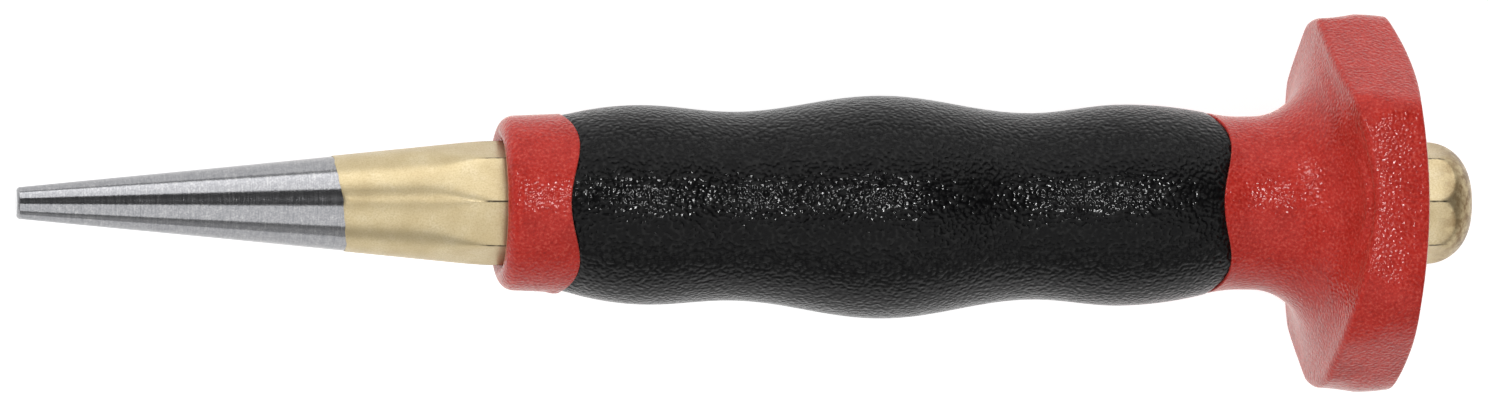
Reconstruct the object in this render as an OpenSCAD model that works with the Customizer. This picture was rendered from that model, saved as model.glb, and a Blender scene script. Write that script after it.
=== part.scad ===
// Tapered drift punch with a two-component hand guard.
// Millimetres. The origin is the centre of the working tip's end face and +X runs along the
// tool to the struck head. +Z is up, through the middle of one flat of the six-sided guard.

/* [Bar] */
// Length of the tool from the tip face to the struck face
tool_length = 150; // [140:1:160]
// Distance across the flats of the octagonal shank
shank_af = 11.7; // [11:0.1:12]
// Diameter of the working tip
tip_diameter = 3.2; // [2:0.1:4]
// Radius gained per millimetre along the working cone
cone_slope = 0.1; // [0.08:0.005:0.12]
// Where the bare steel ends and the lacquer starts
lacquer_start = 32.4; // [20:0.5:40]
// Thickness of the lacquer
lacquer_thickness = 0.06; // [0.04:0.01:0.1]
// Radius of the shoulder round the struck face
head_radius = 4.4; // [4.4:0.1:5]
// Radius of the flat of the struck face
face_radius = 1.95; // [1.95:0.05:2.5]

/* [Sleeve] */
// Where the sleeve's front collar starts
collar_start = 48.9; // [47:0.1:50]
// Outer radius of the front collar
collar_radius = 8.9; // [8.6:0.1:9.2]
// Outer radius of the core tube under the soft grip
core_radius = 7.75; // [7.5:0.05:8.2]
// Radius of the neck in front of the hand guard
neck_radius = 8.9; // [8.6:0.1:9.2]
// Radius of the fillet from the neck to the hand guard
flare_radius = 6.1; // [5:0.1:7]

/* [Guard] */
// Radius of the hand guard at its six corners
guard_radius = 19.42; // [18:0.1:21]
// Distance across the flats of the hand guard
guard_af = 34.2; // [33:0.1:35]
// Where the widest ring of the hand guard lies along the tool
guard_ridge = 137.3; // [137:0.1:138.5]
// Radius of the domed rear face of the hand guard
dome_radius = 58; // [50:1:70]

/* [Grip] */
// How far the finger side of the grip stands out beyond the other side, at its most
grip_offset = 0.42; // [0:0.02:0.5]

/* [Hidden] */

round_fn = 96;
arc_steps = 12;

// Bar
shank_corner = shank_af / 2 / cos(22.5);
bar_twist = -1.5;
tip_bevel = 0.25;
blank_radius = shank_corner + 1;

// Guard: how far the front edge lies ahead of the ridge and the rear edge behind it
guard_front = guard_ridge - 3.5;
guard_rear = guard_ridge + 4.05;
front_drop = 0.55;
rear_drop = 0.22;
edge_radius = 0.8;
flare_start = guard_front - 0.9 - flare_radius;
dome_centre = guard_rear - sqrt(pow(dome_radius, 2) - pow(guard_radius - rear_drop, 2));

// Soft grip: the places of its swells and waists, and its mean radius at each
grip_front = 55.9;
grip_rear = 123.1;
front_end_radius = 9.05;
rear_end_radius = 9.2;
front_swell = [64.2, 10.2];
front_waist = [72.9, 9.67];
middle_swell = [88.5, 11.43];
rear_waist = [104.2, 9.6];
rear_swell = [113.5, 10.36];
grip_sides = 48;
grip_rings = 44;

// Keying between the core tube and the soft grip
key_ring_radius = 8.35;
key_ring_width = 2;
key_ring_places = [66, 80, 95, 110];
key_width = 2.4;
key_count = 4;

// Smooth step from 0 to 1 with level ends
function ease(t) = (1 - cos(180 * t)) / 2;

// Radius between two neighbouring swells or waists
function between(x, from, to) =
    from[1] + (to[1] - from[1]) * ease((x - from[0]) / (to[0] - from[0]));

// Radius between a swell and the end of the grip beyond it, where the slope isn't level
function towards_end(x, swell, end_x, end_radius) =
    swell[1] + (end_radius - swell[1]) * pow((x - swell[0]) / (end_x - swell[0]), 2);

// Mean radius of the grip at a place along the tool
function grip_radius(x) =
    x < front_swell[0] ? towards_end(x, front_swell, grip_front, front_end_radius) :
    x < front_waist[0] ? between(x, front_swell, front_waist) :
    x < middle_swell[0] ? between(x, front_waist, middle_swell) :
    x < rear_waist[0] ? between(x, middle_swell, rear_waist) :
    x < rear_swell[0] ? between(x, rear_waist, rear_swell) :
    towards_end(x, rear_swell, grip_rear, rear_end_radius);

// Sideways shift of the grip's section towards the finger side, none at its two ends
function grip_shift(t) = grip_offset * pow(sin(180 * t), 0.8);

// One point of the grip's skin: t runs from 0 at the front to 1 at the rear
function grip_point(t, angle) =
    let (x = grip_front + (grip_rear - grip_front) * t,
         r = grip_radius(x) - grip_shift(t) * sin(angle))
    [x, r * sin(angle), r * cos(angle)];

// Points of an arc about a centre, from one angle to another
function arc(centre, radius, from, to) =
    [for (i = [0:arc_steps])
        let (a = from + (to - from) * i / arc_steps)
        centre + radius * [cos(a), sin(a)]];

// Turns a profile of [place along the tool, radius] points about the X axis
module turned(profile) {
    rotate([0, 90, 0])
        rotate_extrude($fn = round_fn)
            polygon([for (p = profile) [p[1], p[0]]]);
}

// Octagonal prism along the X axis, from one place to another, a flat distance af across
module octagon(from, to, af) {
    translate([from, 0, 0])
        rotate([0, 90, 0])
            rotate([0, 0, bar_twist])
                cylinder(h = to - from, r = af / 2 / cos(22.5), $fn = 8);
}

// Outer form of the bar, grown by a layer's thickness: octagonal stock turned down to a cone at
// the front and rounded at the head
module bar_form(from, layer) {
    cone_end = from + (blank_radius - tip_diameter / 2) / cone_slope;
    intersection() {
        octagon(from, tool_length, shank_af - 2 * lacquer_thickness + 2 * layer);
        turned(concat(
            [[0, 0],
             [0, tip_diameter / 2 - tip_bevel],
             [tip_bevel, tip_diameter / 2 + layer],
             [cone_end, blank_radius + layer],
             [tool_length - head_radius, blank_radius + layer]],
            arc([tool_length - head_radius, face_radius + layer - lacquer_thickness],
                head_radius, 90, 0),
            [[tool_length, 0]]));
    }
}

// Solid outer form of the soft grip
module grip_form() {
    points = [for (i = [0:grip_rings], j = [0:grip_sides - 1])
        grip_point(i / grip_rings, 360 * j / grip_sides)];
    last_ring = grip_rings * grip_sides;
    sides = [for (i = [0:grip_rings - 1], j = [0:grip_sides - 1], half = [0, 1])
        let (k = (j + 1) % grip_sides,
             a = i * grip_sides + j,
             b = i * grip_sides + k)
        half == 0 ? [a, a + grip_sides, b] : [b, a + grip_sides, b + grip_sides]];
    ends = [[for (j = [0:grip_sides - 1]) j],
            [for (j = [0:grip_sides - 1]) last_ring + grip_sides - 1 - j]];
    polyhedron(points = points, faces = concat(sides, ends));
}

// Core tube that the soft grip is moulded on, with its keying rings and lengthwise keys
module core_form(from, to) {
    turned([[from, 0], [from, core_radius], [to, core_radius], [to, 0]]);
    for (x = key_ring_places)
        turned([[x, 0], [x, key_ring_radius], [x + key_ring_width, key_ring_radius],
                [x + key_ring_width, 0]]);
    for (i = [0:key_count - 1])
        rotate([45 + 360 * i / key_count, 0, 0])
            translate([key_ring_places[0], -key_width / 2, 0])
                cube([key_ring_places[3] - key_ring_places[0], key_width, key_ring_radius]);
}

// Neck, flare, guard and dome of the sleeve, cut to six sides
module guard_form() {
    intersection() {
        turned(concat(
            [[grip_rear, 0], [grip_rear, rear_end_radius]],
            arc([flare_start, neck_radius + flare_radius], flare_radius, 270, 360),
            [[guard_front, guard_radius - front_drop - edge_radius],
             [guard_front + edge_radius, guard_radius - front_drop],
             [guard_ridge, guard_radius],
             [guard_rear, guard_radius - rear_drop]],
            [for (i = [1:arc_steps])
                let (r = (guard_radius - rear_drop) * (1 - i / arc_steps))
                [dome_centre + sqrt(pow(dome_radius, 2) - r * r), r]]));
        translate([grip_rear - 3, 0, 0])
            rotate([0, 90, 0])
                rotate([0, 0, 30])
                    cylinder(h = 30, r = guard_af / 2 / cos(30), $fn = 6);
    }
}

// Front collar of the sleeve
module collar_form() {
    corner = 1.6;
    turned(concat(
        [[collar_start, 0]],
        arc([collar_start + corner, collar_radius - corner], corner, 180, 90),
        [[grip_front, front_end_radius], [grip_front, 0]]));
}

module punch_bar() {
    color("silver") {
        intersection() {
            bar_form(-1, lacquer_thickness);
            translate([-2, -15, -15]) cube([lacquer_start + 2, 30, 30]);
        }
        intersection() {
            bar_form(-1, 0);
            translate([lacquer_start, -15, -15]) cube([tool_length, 30, 30]);
        }
    }
}

module lacquer_coat() {
    color("burlywood")
        difference() {
            intersection() {
                bar_form(-1, lacquer_thickness);
                translate([lacquer_start, -15, -15]) cube([tool_length, 30, 30]);
            }
            bar_form(-1, 0);
        }
}

module guard_sleeve() {
    color("firebrick")
        difference() {
            union() {
                collar_form();
                core_form(grip_front - 1, grip_rear + 1);
                guard_form();
            }
            octagon(collar_start - 1, tool_length, shank_af);
        }
}

module soft_grip() {
    color("dimgray")
        difference() {
            grip_form();
            core_form(grip_front - 2, grip_rear + 2);
        }
}

punch_bar();
lacquer_coat();
guard_sleeve();
soft_grip();
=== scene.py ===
from math import cos, exp, pi, radians, sin, sqrt, tan

import bmesh
import bpy
from mathutils import Matrix, Vector


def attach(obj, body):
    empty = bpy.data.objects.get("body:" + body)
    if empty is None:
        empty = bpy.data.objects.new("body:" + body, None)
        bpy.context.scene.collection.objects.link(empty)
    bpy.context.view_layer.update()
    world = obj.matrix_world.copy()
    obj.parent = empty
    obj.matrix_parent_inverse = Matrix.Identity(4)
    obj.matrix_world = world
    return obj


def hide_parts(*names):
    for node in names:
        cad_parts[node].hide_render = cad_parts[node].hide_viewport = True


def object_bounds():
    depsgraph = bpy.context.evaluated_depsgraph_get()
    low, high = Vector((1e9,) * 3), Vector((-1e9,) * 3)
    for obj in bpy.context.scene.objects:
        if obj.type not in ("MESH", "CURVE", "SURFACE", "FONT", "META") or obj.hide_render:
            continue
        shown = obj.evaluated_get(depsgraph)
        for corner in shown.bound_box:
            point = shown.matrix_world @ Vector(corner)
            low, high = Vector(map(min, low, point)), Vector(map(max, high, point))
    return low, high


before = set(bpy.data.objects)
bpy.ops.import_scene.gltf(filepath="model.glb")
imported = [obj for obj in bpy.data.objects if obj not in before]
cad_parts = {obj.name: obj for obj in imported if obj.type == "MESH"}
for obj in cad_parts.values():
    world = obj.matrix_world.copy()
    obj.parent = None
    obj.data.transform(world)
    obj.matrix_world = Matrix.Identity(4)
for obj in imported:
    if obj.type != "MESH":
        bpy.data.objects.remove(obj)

cad_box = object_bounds()

# ---------------------------------------------------------------------------------------------
# Dimensions in millimetres and degrees, in the CAD's frame. X runs from the tip to the head. An
# angle phi goes round the tool from +Z, the middle of the near flat of the guard, towards +Y.
# ---------------------------------------------------------------------------------------------
MM = 0.001
LENGTH = 150.0

# Bar
TIP_RADIUS = 1.6
TIP_BEVEL = 0.25
CONE_SLOPE = 0.1
SHANK_AF = 11.7
SHANK_TWIST = 1.5
EDGE_ROUNDING = 0.22
HEAD_RADIUS = 4.4
HEAD_FACE = 1.9
HEAD_ROUNDING = 0.12
# The bare cone has its full size at the tip, and sinks under the lacquer over this length
SINK_LENGTH = 25.0
SINK_SHARE = 0.9

# Lacquer, with its tilted front edge
LACQUER = 0.06
LACQUER_START = 32.6
LACQUER_TILT = 0.63
# How much of the lacquer's thickness the skin has
LACQUER_SHARE = 0.8
# Its rise behind the front edge: (distance, share of the full thickness)
LACQUER_RISE = ((0.0, 0.35), (0.05, 0.62), (0.12, 0.85), (0.25, 1.0), (0.5, 1.0), (1.0, 1.0), (1.5, 1.0))
# Where its inner side starts, behind the front edge
LACQUER_SETTLE = 2.0

# Sleeve, up to the neck
BORE_GAP = 0.16
COLLAR_START = 49.05
COLLAR_RADIUS = 8.9
COLLAR_CORNER = 1.6
CORE_RADIUS = 7.75
NECK_RADIUS = 8.9
NECK_PLACE = 125.8
# Moulding mark on the collar: its place, height, width along the tool and width round it
NUB_PLACE = 54.7
NUB_HEIGHT = 0.16
NUB_LENGTH = sqrt(0.5)
NUB_WIDTH = 0.9
# Edges as (distance along, distance out) from the bore's mouth and from the joins with the grip
MOUTH_LIP = ((0.9, 0.0), (0.62, 0.04), (0.45, 0.14))
FRONT_JOIN_EDGE = ((-0.12, 0.03), (-0.04, -0.02), (0.0, -0.12))
REAR_JOIN_EDGE = ((0.0, -0.12), (0.04, -0.01), (0.14, 0.04))

# Flare and guard. The set-back is how far the front face behind the near flat stands back
FLARE_RADIUS = 6.1
FLARE_GAIN = 1.9
FLARE_TURN = 80.0
GUARD_FRONT = 133.8
GUARD_SET_BACK = 2.7
FAR_SHARE = 0.4
FRONT_RIM_RADIUS = 19.05
FRONT_RIM_DROP = 0.6
FRONT_ROLL = 0.85
FRONT_ROLL_DROP = 0.25
FRONT_ROLL_LENGTH = 0.7
FACE_LEAN = 84.0
GUARD_RIDGE = 137.0
GUARD_RIDGE_LAG = 0.15
GUARD_RIDGE_BOW = 0.9
GUARD_RIDGE_WIDTH = 0.1
GUARD_REAR = 141.5
GUARD_RADIUS = 19.42
# Distance from the axis to each of the six flats, from the near one (+Z) round towards +Y
GUARD_FLATS = (17.0, 17.2, 18.3, 17.08, 18.4, 18.7)
GUARD_CORNER = 0.7
REAR_TAPER = 0.2
REAR_EDGE = 0.3
DOME_RADIUS = 63.0
DOME_RIM_DROP = 0.65
REAR_LIP = 0.35

# Soft grip: the radius at its ends, swells and waists, and its shift to the finger side
GRIP_FRONT = 55.9
GRIP_REAR = 123.1
GRIP_FRONT_RADIUS = 9.05
GRIP_REAR_RADIUS = 9.2
GRIP_OFFSET = 0.42
FRONT_SWELL = (64.2, 10.2)
FRONT_WAIST = (72.9, 9.67)
MIDDLE_SWELL = (88.5, 11.43)
REAR_WAIST = (104.2, 9.6)
REAR_SWELL = (113.5, 10.36)
WAVE = 0.6
GRIP_GAP = 0.02
GRIP_INSET = 0.03
GRIP_EDGE_DEPTH = 0.16
GRIP_EDGE_WIDTH = 0.3

# Places of the lacquer's wear: where the corner lines fade in and out, and the browned head
LINES_FADE_IN = (46.4, 47.2)
LINES_FADE_OUT = (146.2, 147.0)
BROWNING = (145.4, 148.2)
FACE_RING = (149.4, 149.95)


def smooth_min(a, b, width):
    """The smaller of two lengths, with the crossing rounded off over the width."""
    h = max(width - abs(a - b), 0.0) / width
    return min(a, b) - h * h * width / 4


def polygon_radius(phi, apothem, sides, first_corner):
    """Radius of a regular polygon at an angle."""
    step = 360.0 / sides
    off = (phi - first_corner) % step - step / 2
    return apothem / cos(radians(off))


def ease(t):
    """Smooth step from 0 to 1 with level ends."""
    return (1 - cos(pi * t)) / 2


def signed(phi):
    """An angle brought to between -180 and 180."""
    return (phi + 180) % 360 - 180


def steps(count, first=1):
    """Even steps up to 1, from the first of so many. The start itself is step 0."""
    return [i / count for i in range(first, count + 1)]


# ---------------------------------------------------------------------------------------------
# Mesh building
# ---------------------------------------------------------------------------------------------
def sector_angles(sides, first_corner, offsets):
    """Angles round the tool, the same in each sector, with points crowded near its corners."""
    step = 360.0 / sides
    half = [o for o in offsets if o < step / 2]
    whole = half + [step / 2] + [step - o for o in reversed(half) if o > 0]
    return [first_corner + k * step + o for k in range(sides) for o in whole]


def point(x, r, phi):
    """A point in metres, from a place along the tool, a radius and an angle."""
    a = radians(phi)
    return (x * MM, r * sin(a) * MM, r * cos(a) * MM)


def skin(name, rings, closed=False, front_cap=None, rear_cap=None):
    """A mesh through rings of points of one count. Closed joins the last ring to the first, and a
    cap is the point where a fan closes that end."""
    n = len(rings[0])
    verts = [p for ring in rings for p in ring]
    faces = []
    last = len(rings) if closed else len(rings) - 1
    for i in range(last):
        a = i * n
        b = ((i + 1) % len(rings)) * n
        for j in range(n):
            k = (j + 1) % n
            faces.append((a + j, a + k, b + k, b + j))
    for cap, base, flip in ((front_cap, 0, True), (rear_cap, (len(rings) - 1) * n, False)):
        if cap is None:
            continue
        verts.append(cap)
        tip = len(verts) - 1
        for j in range(n):
            k = (j + 1) % n
            faces.append((tip, base + k, base + j) if flip else (tip, base + j, base + k))
    mesh = bpy.data.meshes.new(name)
    mesh.from_pydata(verts, [], faces)
    mesh.validate()
    mesh.update()
    obj = bpy.data.objects.new(name, mesh)
    bpy.context.scene.collection.objects.link(obj)
    return obj


def outward(obj):
    """Turns every face of a closed mesh outwards."""
    bm = bmesh.new()
    bm.from_mesh(obj.data)
    bmesh.ops.recalc_face_normals(bm, faces=bm.faces)
    bm.to_mesh(obj.data)
    bm.free()


def finish_piece(obj, material, slot, crease, *nodes):
    """Shading, material, and the piece's place in the frame."""
    outward(obj)
    obj.data.shade_smooth()
    obj.data.set_sharp_from_angle(angle=radians(crease))
    obj.data.materials.append(material)
    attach(obj, "root")
    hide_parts(*nodes)


# ---------------------------------------------------------------------------------------------
# Materials
# ---------------------------------------------------------------------------------------------
class Shader:
    """A node material: short calls to add nodes and join them."""

    def __init__(self, name):
        self.mat = bpy.data.materials.new(name)
        self.mat.use_nodes = True
        self.tree = self.mat.node_tree
        self.bsdf = self.tree.nodes["Principled BSDF"]
        self.coords = self.tree.nodes.new("ShaderNodeTexCoord").outputs["Object"]

    def set(self, **values):
        """Values on the shader's own sockets, named with _ for a space."""
        for key, value in values.items():
            self.bsdf.inputs[key.replace("_", " ")].default_value = value

    def join(self, source, target):
        """Links an output to an input, or to the shader's socket of that name."""
        if isinstance(target, str):
            target = self.bsdf.inputs[target]
        self.tree.links.new(source, target)

    def scaled(self, x, y, z):
        """Object coordinates stretched by a factor a side, per millimetre."""
        node = self.tree.nodes.new("ShaderNodeMapping")
        node.inputs["Scale"].default_value = (x / MM, y / MM, z / MM)
        self.join(self.coords, node.inputs["Vector"])
        return node.outputs["Vector"]

    def places(self):
        """The object coordinates in millimetres, one output for each of X, Y and Z."""
        node = self.tree.nodes.new("ShaderNodeSeparateXYZ")
        self.join(self.scaled(1, 1, 1), node.inputs["Vector"])
        return node.outputs

    def noise(self, vector, scale, detail=3.0, roughness=0.5):
        node = self.tree.nodes.new("ShaderNodeTexNoise")
        node.inputs["Scale"].default_value = scale
        node.inputs["Detail"].default_value = detail
        node.inputs["Roughness"].default_value = roughness
        self.join(vector, node.inputs["Vector"])
        return node.outputs["Fac"]

    def cells(self, vector, scale):
        node = self.tree.nodes.new("ShaderNodeTexVoronoi")
        node.inputs["Scale"].default_value = scale
        self.join(vector, node.inputs["Vector"])
        return node.outputs["Distance"]

    def spread(self, source, low, high, to_low, to_high):
        """Maps a range to another, clamped."""
        node = self.tree.nodes.new("ShaderNodeMapRange")
        node.inputs["From Min"].default_value = low
        node.inputs["From Max"].default_value = high
        node.inputs["To Min"].default_value = to_low
        node.inputs["To Max"].default_value = to_high
        self.join(source, node.inputs["Value"])
        return node.outputs["Result"]

    def math(self, kind, a, b):
        node = self.tree.nodes.new("ShaderNodeMath")
        node.operation = kind
        for socket, value in zip(node.inputs, (a, b)):
            if isinstance(value, (int, float)):
                socket.default_value = value
            else:
                self.join(value, socket)
        return node.outputs["Value"]

    def ramp(self, source, *stops):
        """Colours at places from 0 to 1."""
        node = self.tree.nodes.new("ShaderNodeValToRGB")
        elements = node.color_ramp.elements
        while len(elements) < len(stops):
            elements.new(0.5)
        for element, (place, colour) in zip(elements, stops):
            element.position = place
            element.color = (*colour, 1.0)
        self.join(source, node.inputs["Fac"])
        return node.outputs["Color"]

    def mix(self, factor, base, colour):
        """The base mixed with a plain colour, by a factor from a node."""
        node = self.tree.nodes.new("ShaderNodeMix")
        node.data_type = "RGBA"
        under, over = [s for s in node.inputs if s.type == "RGBA"]
        self.join(factor, node.inputs[0])
        self.join(base, under)
        over.default_value = (*colour, 1.0)
        return [s for s in node.outputs if s.type == "RGBA"][0]

    def bump(self, *layers):
        """Bumps one over another: (height, depth in millimetres) each."""
        normal = None
        for height, depth in layers:
            node = self.tree.nodes.new("ShaderNodeBump")
            node.inputs["Strength"].default_value = 1.0
            node.inputs["Distance"].default_value = depth * MM
            self.join(height, node.inputs["Height"])
            if normal is not None:
                self.join(normal, node.inputs["Normal"])
            normal = node.outputs["Normal"]
        self.join(normal, "Normal")


def corner_lines(s):
    """Thin lines along the octagon's corners, where the lacquer is worn through."""
    places = s.places()
    angle = s.math("ARCTAN2", places["Y"], places["Z"])
    turned = s.math("ADD", angle, radians(360 - SHANK_TWIST))
    folded = s.math("PINGPONG", turned, radians(22.5))
    line = s.spread(folded, radians(0.55), radians(1.1), 1.0, 0.0)
    front = s.spread(places["X"], *LINES_FADE_IN, 0.0, 1.0)
    rear = s.spread(places["X"], *LINES_FADE_OUT, 1.0, 0.0)
    uneven = s.spread(s.noise(s.scaled(1, 1, 1), 1.3, 3.0, 0.6), 0.35, 0.55, 0.35, 1.0)
    return s.math("MULTIPLY", s.math("MULTIPLY", line, uneven), s.math("MULTIPLY", front, rear))


def browned_head(s, even):
    """Patchy brown on the shoulder round the struck face, where the lacquer has gone."""
    along = s.places()["X"]
    worn = s.spread(along, *BROWNING, 0.1, 1.0)
    patch = s.spread(s.noise(even, 0.9, 3.0, 0.6), 0.36, 0.58, 0.25, 1.0)
    ring = s.spread(along, *FACE_RING, 1.0, 0.4)
    brown = s.math("MULTIPLY", s.math("MULTIPLY", worn, patch), ring)
    return s.math("MULTIPLY", brown, 0.9)


def ground_steel():
    """Bare steel, ground round the cone: fine marks across the tool, with a faint mottle."""
    s = Shader("ground_steel")
    s.set(Metallic=1.0)
    even = s.scaled(1, 1, 1)
    mottle = s.noise(even, 1.6, 4.0, 0.6)
    speck = s.noise(even, 5.0, 3.0, 0.65)
    marks = s.noise(s.scaled(7.0, 0.5, 0.5), 1.0, 4.0, 0.6)
    tone = s.math("ADD", s.math("MULTIPLY", mottle, 0.5), s.math("MULTIPLY", marks, 0.5))
    base = s.ramp(tone,
                  (0.34, (0.25, 0.255, 0.265)),
                  (0.52, (0.34, 0.34, 0.35)),
                  (0.68, (0.43, 0.43, 0.43)))
    base = s.mix(s.spread(speck, 0.38, 0.62, 0.0, 0.55), base, (0.20, 0.20, 0.215))
    s.join(base, "Base Color")
    s.join(s.spread(marks, 0.3, 0.7, 0.08, 0.16), "Roughness")
    s.bump((marks, 0.004), (speck, 0.006))
    return s.mat


def gold_lacquer():
    """Gold lacquer with fine flecks, worn corner lines and a browned head."""
    s = Shader("gold_lacquer")
    s.set(Metallic=0.85)
    even = s.scaled(1, 1, 1)
    cloud = s.noise(even, 0.45, 3.0, 0.55)
    fleck = s.noise(even, 6.0, 2.0, 0.6)
    base = s.ramp(cloud,
                  (0.32, (0.50, 0.405, 0.235)),
                  (0.55, (0.57, 0.475, 0.29)),
                  (0.72, (0.62, 0.53, 0.345)))
    base = s.mix(s.spread(fleck, 0.42, 0.66, 0.0, 0.45), base, (0.42, 0.32, 0.165))
    base = s.mix(browned_head(s, even), base, (0.16, 0.09, 0.03))
    base = s.mix(corner_lines(s), base, (0.07, 0.055, 0.035))
    s.join(base, "Base Color")
    s.join(s.spread(fleck, 0.3, 0.7, 0.30, 0.42), "Roughness")
    s.bump((cloud, 0.02), (fleck, 0.012))
    return s.mat


def red_plastic():
    """Hard red plastic with a moulded grain and a fine mottle."""
    s = Shader("red_plastic")
    s.set(Sheen_Weight=0.32, Sheen_Roughness=0.28, Sheen_Tint=(1.0, 0.68, 0.52, 1.0))
    s.set(Specular_IOR_Level=0.19)
    even = s.scaled(1, 1, 1)
    cloud = s.noise(even, 0.35, 3.0, 0.5)
    grain = s.noise(even, 3.0, 0.0)
    fine = s.noise(even, 3.3, 2.0, 0.6)
    pits = s.cells(even, 3.6)
    base = s.ramp(cloud,
                  (0.3, (0.32, 0.0175, 0.012)),
                  (0.5, (0.36, 0.0205, 0.0145)),
                  (0.72, (0.395, 0.025, 0.018)))
    base = s.mix(s.spread(fine, 0.52, 0.68, 0.0, 0.5), base, (0.52, 0.085, 0.062))
    base = s.mix(s.spread(fine, 0.32, 0.46, 0.5, 0.0), base, (0.20, 0.008, 0.006))
    s.join(base, "Base Color")
    s.join(s.spread(cloud, 0.3, 0.7, 0.15, 0.22), "Roughness")
    s.bump((pits, 0.006), (grain, 0.085))
    return s.mat


def black_grip():
    """Soft black plastic with a pebbled grain and a little dust. Its colour carries painted shade and
    highlight on the grain: darker in the hollows of the bump, lighter on its tops.
    """
    s = Shader("black_grip")
    s.set(Specular_IOR_Level=0.16)
    even = s.scaled(1, 1, 1)
    pebble = s.cells(even, 2.9)
    grain = s.noise(even, 2.5, 0.0)
    dust = s.noise(even, 0.5, 4.0, 0.6)
    # Painted shade and highlight: the colour follows the grain's bump height, darker in its hollows and
    # lighter on its tops.
    base = s.ramp(grain,
                  (0.35, (0.0010, 0.0010, 0.0012)),
                  (0.55, (0.003, 0.003, 0.0032)),
                  (0.72, (0.010, 0.010, 0.010)))
    base = s.mix(s.spread(dust, 0.5, 0.8, 0.0, 0.2), base, (0.012, 0.012, 0.012))
    s.join(base, "Base Color")
    s.join(s.spread(dust, 0.3, 0.7, 0.14, 0.2), "Roughness")
    s.bump((pebble, 0.01), (grain, 0.12))
    return s.mat


# ---------------------------------------------------------------------------------------------
# Bar and its lacquer
# ---------------------------------------------------------------------------------------------
BAR_ANGLES = sector_angles(8, SHANK_TWIST, (0, 0.6, 1.4, 2.4, 3.6, 5.5, 8, 11, 14, 17, 20))


def bar_radius(x, phi, rounding=EDGE_ROUNDING):
    """Radius of the bar's outer skin, lacquer included."""
    flats = polygon_radius(phi, SHANK_AF / 2, 8, SHANK_TWIST)
    cone = TIP_RADIUS + CONE_SLOPE * x
    r = smooth_min(cone, flats, rounding)
    head_start = LENGTH - HEAD_RADIUS
    if x > head_start:
        d = min(x - head_start, HEAD_RADIUS)
        r = smooth_min(r, HEAD_FACE + sqrt(HEAD_RADIUS ** 2 - d * d), HEAD_ROUNDING)
    return r


def bar_ring(x, sunk=0.0):
    """One ring of the bar's form, sunk by a depth under its outer skin."""
    return [point(x, bar_radius(x, phi) - sunk, phi) for phi in BAR_ANGLES]


def bar_places(start):
    """Places of the bar's rings, closer together where its form changes."""
    places = []
    head_start = LENGTH - HEAD_RADIUS
    x = start
    while x < head_start:
        places.append(x)
        x += 0.5 if x < 52 else (3.0 if x < 140 else 0.4)
    places += [head_start + HEAD_RADIUS * sin(pi / 2 * t) for t in steps(24, first=0)]
    return places


def make_bar(material):
    """The bar, under its lacquer behind the bare cone."""
    rings = []
    for x, drop in ((0.0, -TIP_BEVEL), (0.08, -0.12), (TIP_BEVEL, 0.0)):
        rings.append([point(x, TIP_RADIUS + CONE_SLOPE * x + drop, phi) for phi in BAR_ANGLES])
    rear = LENGTH - LACQUER
    for x in bar_places(0.75):
        sunk = LACQUER * SINK_SHARE * ease(min(x / SINK_LENGTH, 1))
        rings.append([point(min(x, rear), bar_radius(x, phi) - sunk, phi) for phi in BAR_ANGLES])
    obj = skin("punch_bar_skin", rings, front_cap=point(0, 0, 0), rear_cap=point(rear, 0, 0))
    finish_piece(obj, material, "polished_steel", 25, "punch_bar")
    return obj


def lacquer_edge(phi):
    """Where the lacquer's front edge lies at an angle: tilted and a little uneven."""
    a = radians(phi)
    uneven = 0.05 * sin(5 * a + 1.0) + 0.035 * sin(11 * a + 0.4) + 0.02 * sin(23 * a)
    return LACQUER_START - LACQUER_TILT * sin(a) + uneven


def lacquer_front_ring(distance, share):
    """A ring of the lacquer a distance behind its front edge, with a share of its thickness."""
    sunk = LACQUER * LACQUER_SHARE * (1 - share)
    ring = []
    for phi in BAR_ANGLES:
        x = lacquer_edge(phi) + distance
        ring.append(point(x, bar_radius(x, phi, 0.25) - sunk, phi))
    return ring


def make_lacquer(material):
    """The lacquer as a thin shell, from its front edge to the head."""
    depth = LACQUER * LACQUER_SHARE
    first = LACQUER_START + LACQUER_SETTLE
    rear = LENGTH - depth
    outer = [lacquer_front_ring(distance, share) for distance, share in LACQUER_RISE]
    outer += [bar_ring(x) for x in bar_places(first + 0.5)]
    inner = [bar_ring(min(x, rear), depth) for x in [first] + bar_places(first + 1)]
    rings = list(reversed(inner)) + outer
    obj = skin("lacquer_skin", rings, front_cap=point(rear, 0, 0), rear_cap=point(LENGTH, 0, 0))
    finish_piece(obj, material, "gold_lacquer", 25, "lacquer_coat")
    return obj


# ---------------------------------------------------------------------------------------------
# Sleeve: front collar, core tube, neck, flare, hand guard and dome in one moulding
# ---------------------------------------------------------------------------------------------
GUARD_ANGLES = sector_angles(
    6, 30.0, (0, 0.8, 1.7, 2.8, 4.2, 6, 8, 10, 12, 14, 16, 18, 20, 22, 24, 26, 28))


def wave(phi):
    """How far the joins with the grip wave towards the tip, four times round."""
    return WAVE * cos(radians(4 * phi))


def guard_outline(phi):
    """Radius of the guard's ridge: six flats cut into a circle, with rounded corners."""
    r = GUARD_RADIUS + 0.05
    for k, apothem in enumerate(GUARD_FLATS):
        off = radians(signed(phi - 60 * k))
        if abs(off) < 1.3:
            r = smooth_min(r, apothem / cos(off), GUARD_CORNER)
    return r


def collar_nub(x, phi):
    """A small moulding mark on the finger side of the collar."""
    round_it = radians(signed(phi + 90)) * 9 / NUB_WIDTH
    along = (x - NUB_PLACE) / NUB_LENGTH
    return NUB_HEIGHT * exp(-along ** 2 - round_it ** 2)


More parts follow.
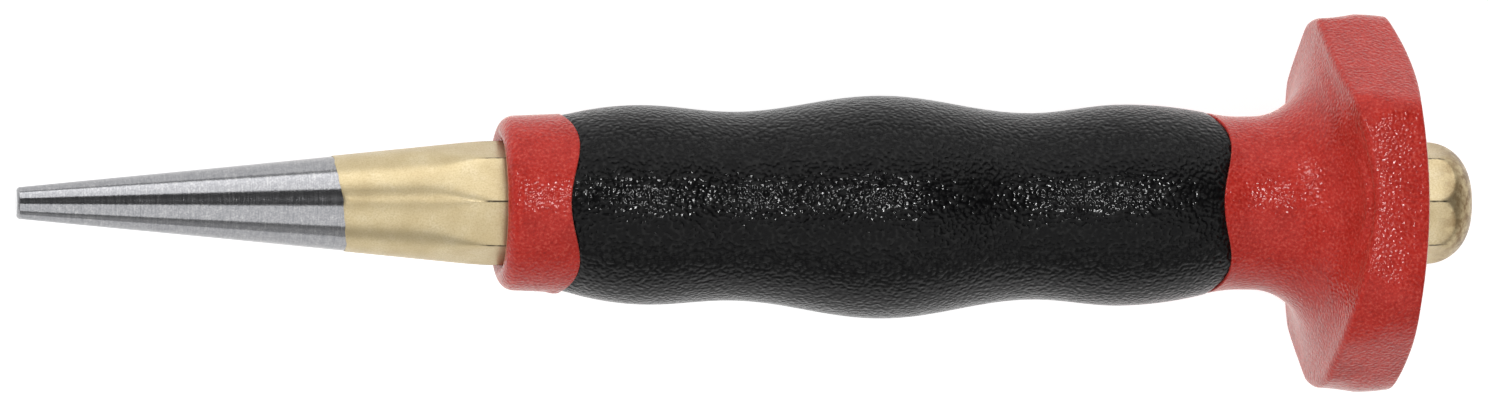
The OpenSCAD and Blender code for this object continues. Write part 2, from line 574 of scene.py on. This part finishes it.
def collar_part(phi, bore):
    """From the bore's front mouth over the collar's corner to the core tube under the grip."""
    reach = COLLAR_RADIUS - COLLAR_CORNER
    points = [(COLLAR_START + along, bore + out) for along, out in MOUTH_LIP]
    lip_depth, lip_rise = MOUTH_LIP[-1]
    for t in steps(4)[:-1]:
        r = bore + lip_rise + (reach - bore - lip_rise) * t
        points.append((COLLAR_START + lip_depth * (1 - t) ** 1.5, r))
    for t in steps(12, first=0):
        a = pi / 2 * t
        points.append((COLLAR_START + COLLAR_CORNER * (1 - cos(a)), reach + COLLAR_CORNER * sin(a)))
    join = GRIP_FRONT - wave(phi)
    edge = [(join + along, GRIP_FRONT_RADIUS + out) for along, out in FRONT_JOIN_EDGE]
    first = COLLAR_START + COLLAR_CORNER
    last_x, last_r = edge[0]
    for t in steps(16):
        x = first + (last_x - first) * t
        points.append((x, COLLAR_RADIUS + (last_r - COLLAR_RADIUS) * t + collar_nub(x, phi)))
    return points + edge[1:] + [(join, CORE_RADIUS)]


def neck_part(phi):
    """From the core tube under the grip to the neck."""
    join = GRIP_REAR - wave(phi)
    points = [(join, CORE_RADIUS)]
    points += [(join + along, GRIP_REAR_RADIUS + out) for along, out in REAR_JOIN_EDGE]
    start_x, start_r = points[-1]
    for t in steps(8):
        r = start_r - (start_r - NECK_RADIUS) * sin(pi / 2 * t)
        points.append((start_x + (NECK_PLACE - start_x) * t, r))
    return points


def flare_part(front, set_back):
    """The flare: an arc from the neck up towards the guard's front face."""
    radius = FLARE_RADIUS + FLARE_GAIN * set_back
    start = front - radius - 0.5
    points = [(start - 0.7, NECK_RADIUS + 0.01)]
    for t in steps(20, first=0):
        a = radians(FLARE_TURN) * t
        points.append((start + radius * sin(a), NECK_RADIUS + 0.02 + radius * (1 - cos(a))))
    return points


def face_part(flare_end, front, set_back, rim):
    """The guard's front face, from the flare's end, and the roll over to its rim."""
    face_x, face_r = flare_end
    top_r = rim - FRONT_ROLL + FRONT_ROLL_DROP * set_back
    points = []
    for t in steps(7):
        x = face_x + (front - face_x) * (1 - (1 - t) ** 2)
        points.append((x, face_r + (top_r - face_r) * t))
    # The roll is a quadratic curve with its corner at (bend_x, rim)
    bend_x = front + (rim - top_r) / tan(radians(FACE_LEAN))
    end_x = front + FRONT_ROLL_LENGTH - FRONT_ROLL_DROP * set_back
    for t in steps(14):
        x = (1 - t) ** 2 * front + 2 * t * (1 - t) * bend_x + t * t * end_x
        points.append((x, (1 - t) ** 2 * top_r + (1 - (1 - t) ** 2) * rim))
    return points


def edge_part(rim_end, ridge_x, ridge):
    """The guard's outer edge, from the front rim up to the ridge and back to the rear rim."""
    rim_x, rim = rim_end
    points = [(rim_x + (ridge_x - rim_x) * t, rim + (ridge - rim) * t ** 1.5) for t in steps(5)]
    start = ridge_x + GUARD_RIDGE_WIDTH
    points.append((start, ridge))
    for t in steps(8):
        points.append((start + (GUARD_REAR - REAR_EDGE - start) * t, ridge - REAR_TAPER * t * t))
    return points


def dome(r):
    """Place of the guard's domed rear face at a radius."""
    centre = GUARD_REAR - sqrt(DOME_RADIUS ** 2 - (GUARD_RADIUS - DOME_RIM_DROP) ** 2)
    return centre + sqrt(DOME_RADIUS ** 2 - r * r)


def dome_part(ridge, bore):
    """Over the rear rim and down the dome to the bore's rear mouth."""
    rim = ridge - REAR_TAPER
    inner = rim - REAR_EDGE
    start = GUARD_REAR - REAR_EDGE
    points = []
    for t in steps(6):
        a = pi / 2 * t
        points.append((start + (dome(inner) - start) * sin(a), rim - REAR_EDGE * (1 - cos(a))))
    for t in steps(14):
        r = inner + (bore + REAR_LIP - inner) * t
        points.append((dome(r), r))
    return points + [(dome(bore) - 0.1, bore + 0.1), (dome(bore) - REAR_LIP, bore)]


def sleeve_profile(phi):
    """The sleeve's section at an angle, as (place, radius) points from the bore's front mouth
    round the outside to its rear mouth."""
    bore = polygon_radius(phi, SHANK_AF / 2 + BORE_GAP, 8, SHANK_TWIST)
    ridge = guard_outline(phi)
    # The front rim is nearly round. Behind the near flat, and less behind the far one, the flare
    # is wider and its face stands further back, so that it meets the flat in one crisp line.
    facing = cos(radians(phi))
    set_back = max(facing, 0) ** 6 + FAR_SHARE * max(-facing, 0) ** 6
    front = GUARD_FRONT + GUARD_SET_BACK * set_back
    rim = min(FRONT_RIM_RADIUS - FRONT_RIM_DROP * set_back, ridge - 0.05)
    # The ridge lies further back at the corners than in the middle of a flat
    flatness = (1 + cos(radians(6 * phi))) / 2
    ridge_x = GUARD_RIDGE + GUARD_RIDGE_LAG + GUARD_RIDGE_BOW * (1 - flatness)
    points = collar_part(phi, bore) + neck_part(phi)
    points += flare_part(front, set_back)
    points += face_part(points[-1], front, set_back, rim)
    points += edge_part(points[-1], ridge_x, ridge)
    return points + dome_part(ridge, bore)


def make_sleeve(material):
    """The sleeve, one section for each angle. The last ring joins the first inside the bore."""
    sections = [sleeve_profile(phi) for phi in GUARD_ANGLES]
    rings = []
    for i in range(len(sections[0])):
        rings.append([point(*section[i], phi) for section, phi in zip(sections, GUARD_ANGLES)])
    obj = skin("sleeve_moulding", rings, closed=True)
    finish_piece(obj, material, "red_plastic", 32, "guard_sleeve")
    return obj


# ---------------------------------------------------------------------------------------------
# Soft grip
# ---------------------------------------------------------------------------------------------
GRIP_ANGLES = [i * 1.875 for i in range(192)]


def between(x, start, end):
    """Radius between two neighbouring swells or waists."""
    return start[1] + (end[1] - start[1]) * ease((x - start[0]) / (end[0] - start[0]))


def towards_end(x, swell, end_x, end_radius):
    """Radius between a swell and the end of the grip beyond it."""
    return swell[1] + (end_radius - swell[1]) * ((x - swell[0]) / (end_x - swell[0])) ** 2


def grip_radius(x):
    """Mean radius of the grip at a place along the tool."""
    swells = [FRONT_SWELL, FRONT_WAIST, MIDDLE_SWELL, REAR_WAIST, REAR_SWELL]
    if x < FRONT_SWELL[0]:
        return towards_end(x, FRONT_SWELL, GRIP_FRONT, GRIP_FRONT_RADIUS)
    for start, end in zip(swells, swells[1:]):
        if x < end[0]:
            return between(x, start, end)
    return towards_end(x, REAR_SWELL, GRIP_REAR, GRIP_REAR_RADIUS)


def grip_skin_radius(x, phi):
    """Radius of the grip at a place and an angle, with its shift to the finger side."""
    held = min(max(x, GRIP_FRONT), GRIP_REAR)
    t = (held - GRIP_FRONT) / (GRIP_REAR - GRIP_FRONT)
    return grip_radius(held) - GRIP_OFFSET * sin(pi * t) ** 0.8 * sin(radians(phi))


def grip_ends(phi):
    """Where the grip starts and ends at an angle."""
    return GRIP_FRONT - wave(phi) + GRIP_GAP, GRIP_REAR - wave(phi) - GRIP_GAP


def grip_point(t, phi):
    """A point of the grip's skin: t runs from 0 at the front to 1 at the rear."""
    start, end = grip_ends(phi)
    x = start + (end - start) * t
    edge = GRIP_EDGE_DEPTH * (1 - min(min(x - start, end - x) / GRIP_EDGE_WIDTH, 1)) ** 2
    return point(x, grip_skin_radius(x, phi) - GRIP_INSET - edge, phi)


def make_grip(material):
    """The soft grip as a closed shell on the core tube."""
    rings = [[grip_point(t, phi) for phi in GRIP_ANGLES] for t in steps(150, first=0)]
    for end in (1, 0):
        rings.append([point(grip_ends(phi)[end], CORE_RADIUS + 0.01, phi) for phi in GRIP_ANGLES])
    obj = skin("soft_grip_skin", rings, closed=True)
    finish_piece(obj, material, "black_soft_plastic", 35, "soft_grip")
    return obj


metal = [make_bar(ground_steel()), make_lacquer(gold_lacquer())]
plastic = [make_sleeve(red_plastic()), make_grip(black_grip())]


# ---------------------------------------------------------------------------------------------
# Stage: floor, light and camera. Lengths here are in metres
# ---------------------------------------------------------------------------------------------
FLOOR_HALF = 6.0
FLOOR_GREY = 0.88
FLOOR_GLOW = 0.75
LIGHT_CENTRE = (0.075, 0, 0)
# Grey of the surroundings at two heights, where 0 is level and 1 is straight up
WORLD_STOPS = ((0.25, 0.6), (0.6, 0.12))
# Degrees that the camera leans from straight down towards the tip
CAMERA_ANGLE = 9.3
CAMERA_DISTANCE = 1.0
CAMERA_TARGET = (0.07436, -0.0001, 0.0)
CAMERA_LENS = 237.1


def make_floor():
    """A plain pale floor under the guard's lowest side."""
    low = cad_box[0][2]
    corners = [(-1, -1), (1, -1), (1, 1), (-1, 1)]
    mesh = bpy.data.meshes.new("floor")
    mesh.from_pydata([(x * FLOOR_HALF, y * FLOOR_HALF, low) for x, y in corners], [], [(0, 1, 2, 3)])
    floor = bpy.data.objects.new("floor", mesh)
    bpy.context.scene.collection.objects.link(floor)
    mat = bpy.data.materials.new("pale_floor")
    mat.use_nodes = True
    bsdf = mat.node_tree.nodes["Principled BSDF"]
    bsdf.inputs["Base Color"].default_value = (FLOOR_GREY, FLOOR_GREY, FLOOR_GREY, 1)
    bsdf.inputs["Roughness"].default_value = 0.9
    bsdf.inputs["Specular IOR Level"].default_value = 0.1
    bsdf.inputs["Emission Color"].default_value = (1, 1, 1, 1)
    bsdf.inputs["Emission Strength"].default_value = FLOOR_GLOW
    mesh.materials.append(mat)
    return floor


def make_light(name, side, along, distance, width, length, radiance, lit):
    """An area light that faces the tool. Side is its angle from straight up towards +Y and along
    its angle from straight up towards the head. Its radiance gives its power. It shines only on
    the objects in lit."""
    direction = Vector((sin(radians(along)), sin(radians(side)) * cos(radians(along)),
                        cos(radians(side)) * cos(radians(along))))
    data = bpy.data.lights.new(name, "AREA")
    data.shape = "RECTANGLE"
    data.size = length
    data.size_y = width
    data.energy = radiance * pi * width * length
    light = bpy.data.objects.new(name, data)
    bpy.context.scene.collection.objects.link(light)
    across = Vector((1, 0, 0))
    across = (across - direction * across.dot(direction)).normalized()
    basis = Matrix((across, direction.cross(across), direction)).transposed().to_4x4()
    light.matrix_world = Matrix.Translation(Vector(LIGHT_CENTRE) + direction * distance) @ basis
    light.visible_camera = False
    receivers = bpy.data.collections.new(name + "_lit")
    for obj in lit:
        receivers.objects.link(obj)
    light.light_linking.receiver_collection = receivers


def make_world():
    """Soft grey surroundings, lighter near the level of the floor."""
    world = bpy.data.worlds.new("studio")
    bpy.context.scene.world = world
    world.use_nodes = True
    tree = world.node_tree
    coords = tree.nodes.new("ShaderNodeTexCoord")
    split = tree.nodes.new("ShaderNodeSeparateXYZ")
    ramp = tree.nodes.new("ShaderNodeValToRGB")
    tree.links.new(coords.outputs["Generated"], split.inputs["Vector"])
    tree.links.new(split.outputs["Z"], ramp.inputs["Fac"])
    for stop, (place, grey) in zip(ramp.color_ramp.elements, WORLD_STOPS):
        stop.position = place
        stop.color = (grey, grey, grey, 1)
    tree.links.new(ramp.outputs["Color"], tree.nodes["Background"].inputs["Color"])


def make_camera():
    """Looks down on the tool with +Y up the picture."""
    data = bpy.data.cameras.new("camera")
    data.lens = CAMERA_LENS
    data.sensor_width = 36.0
    data.clip_start = 0.05
    data.clip_end = 50.0
    camera = bpy.data.objects.new("camera", data)
    bpy.context.scene.collection.objects.link(camera)
    a = radians(CAMERA_ANGLE)
    right = Vector((cos(a), 0, sin(a)))
    up = Vector((0, 1, 0))
    back = Vector((-sin(a), 0, cos(a)))
    basis = Matrix((right, up, back)).transposed().to_4x4()
    camera.matrix_world = Matrix.Translation(Vector(CAMERA_TARGET) + back * CAMERA_DISTANCE) @ basis
    bpy.context.scene.camera = camera


floor = make_floor()
# Name, side, along, distance, width, length, radiance and what it shines on. The boxes and metal_key
# make the metal's reflections, the fills light the plastic and the floor, and key and tip_side
# make the highlights on the plastic.
make_light("near_side_box", -33, 0, 1.5, 1.45, 2.4, 1.35, metal)
make_light("far_side_box", 58, 0, 1.5, 1.25, 2.4, 1.9, metal)
make_light("near_side_fill", -33, 0, 1.5, 1.45, 2.4, 0.85, plastic + [floor])
make_light("far_side_fill", 58, 0, 1.5, 1.25, 2.4, 1.0, plastic + [floor])
make_light("key", 10, 4, 1.3, 0.08, 0.08, 330.0, plastic)
make_light("metal_key", 10, 4, 1.3, 0.05, 0.05, 330.0, metal)
make_light("tip_side", 23, -41, 1.3, 0.08, 0.08, 280.0, plastic)
make_world()
make_camera()
bpy.context.scene.view_settings.view_transform = "Standard"
